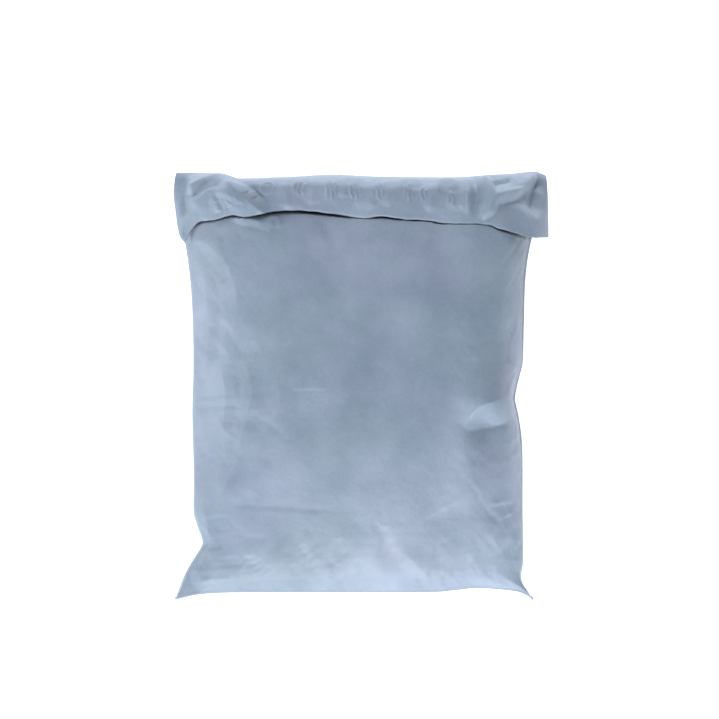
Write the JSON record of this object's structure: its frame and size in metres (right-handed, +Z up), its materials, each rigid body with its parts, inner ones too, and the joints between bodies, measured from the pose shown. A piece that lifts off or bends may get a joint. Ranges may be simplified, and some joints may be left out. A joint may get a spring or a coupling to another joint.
{
  "type": "courier mailing bag",
  "caption": "Filled mail sack of thin grey-blue film with welded sides, a folded bottom and a flap that folds over its mouth and sticks down.",
  "frame": {"origin": "middle of the footprint, on the surface that the bag's back lies on", "axes": "+Z up, out of the front of the bag; +Y towards the flap; +X to the right of a person who looks at the front with the flap at the top"},
  "size_m": [0.2541, 0.2897, 0.0567],
  "materials": {
    "film": "satin polythene film, finely mottled",
    "weld": "pressed film along a heat weld or fold",
    "adhesive": "clear, tacky hot-melt adhesive",
    "lining": "black inner layer of the same film"
  },
  "bodies": {
    "bag": {"front_panel": "film", "back_panel": "film", "left_side_weld": "weld", "right_side_weld": "weld", "bottom_fold": "weld", "flap_crease": "weld"},
    "flap": {"closure_flap": "film", "adhesive_strip": "adhesive"}
  },
  "joints": [
    {"name": "flap_fold", "type": "hinge", "parent": "bag", "child": "flap", "pos_m": [0, 0.1435, 0.0165], "axis": [-1, 0, 0], "range_deg": [0, 120]}
  ]
}
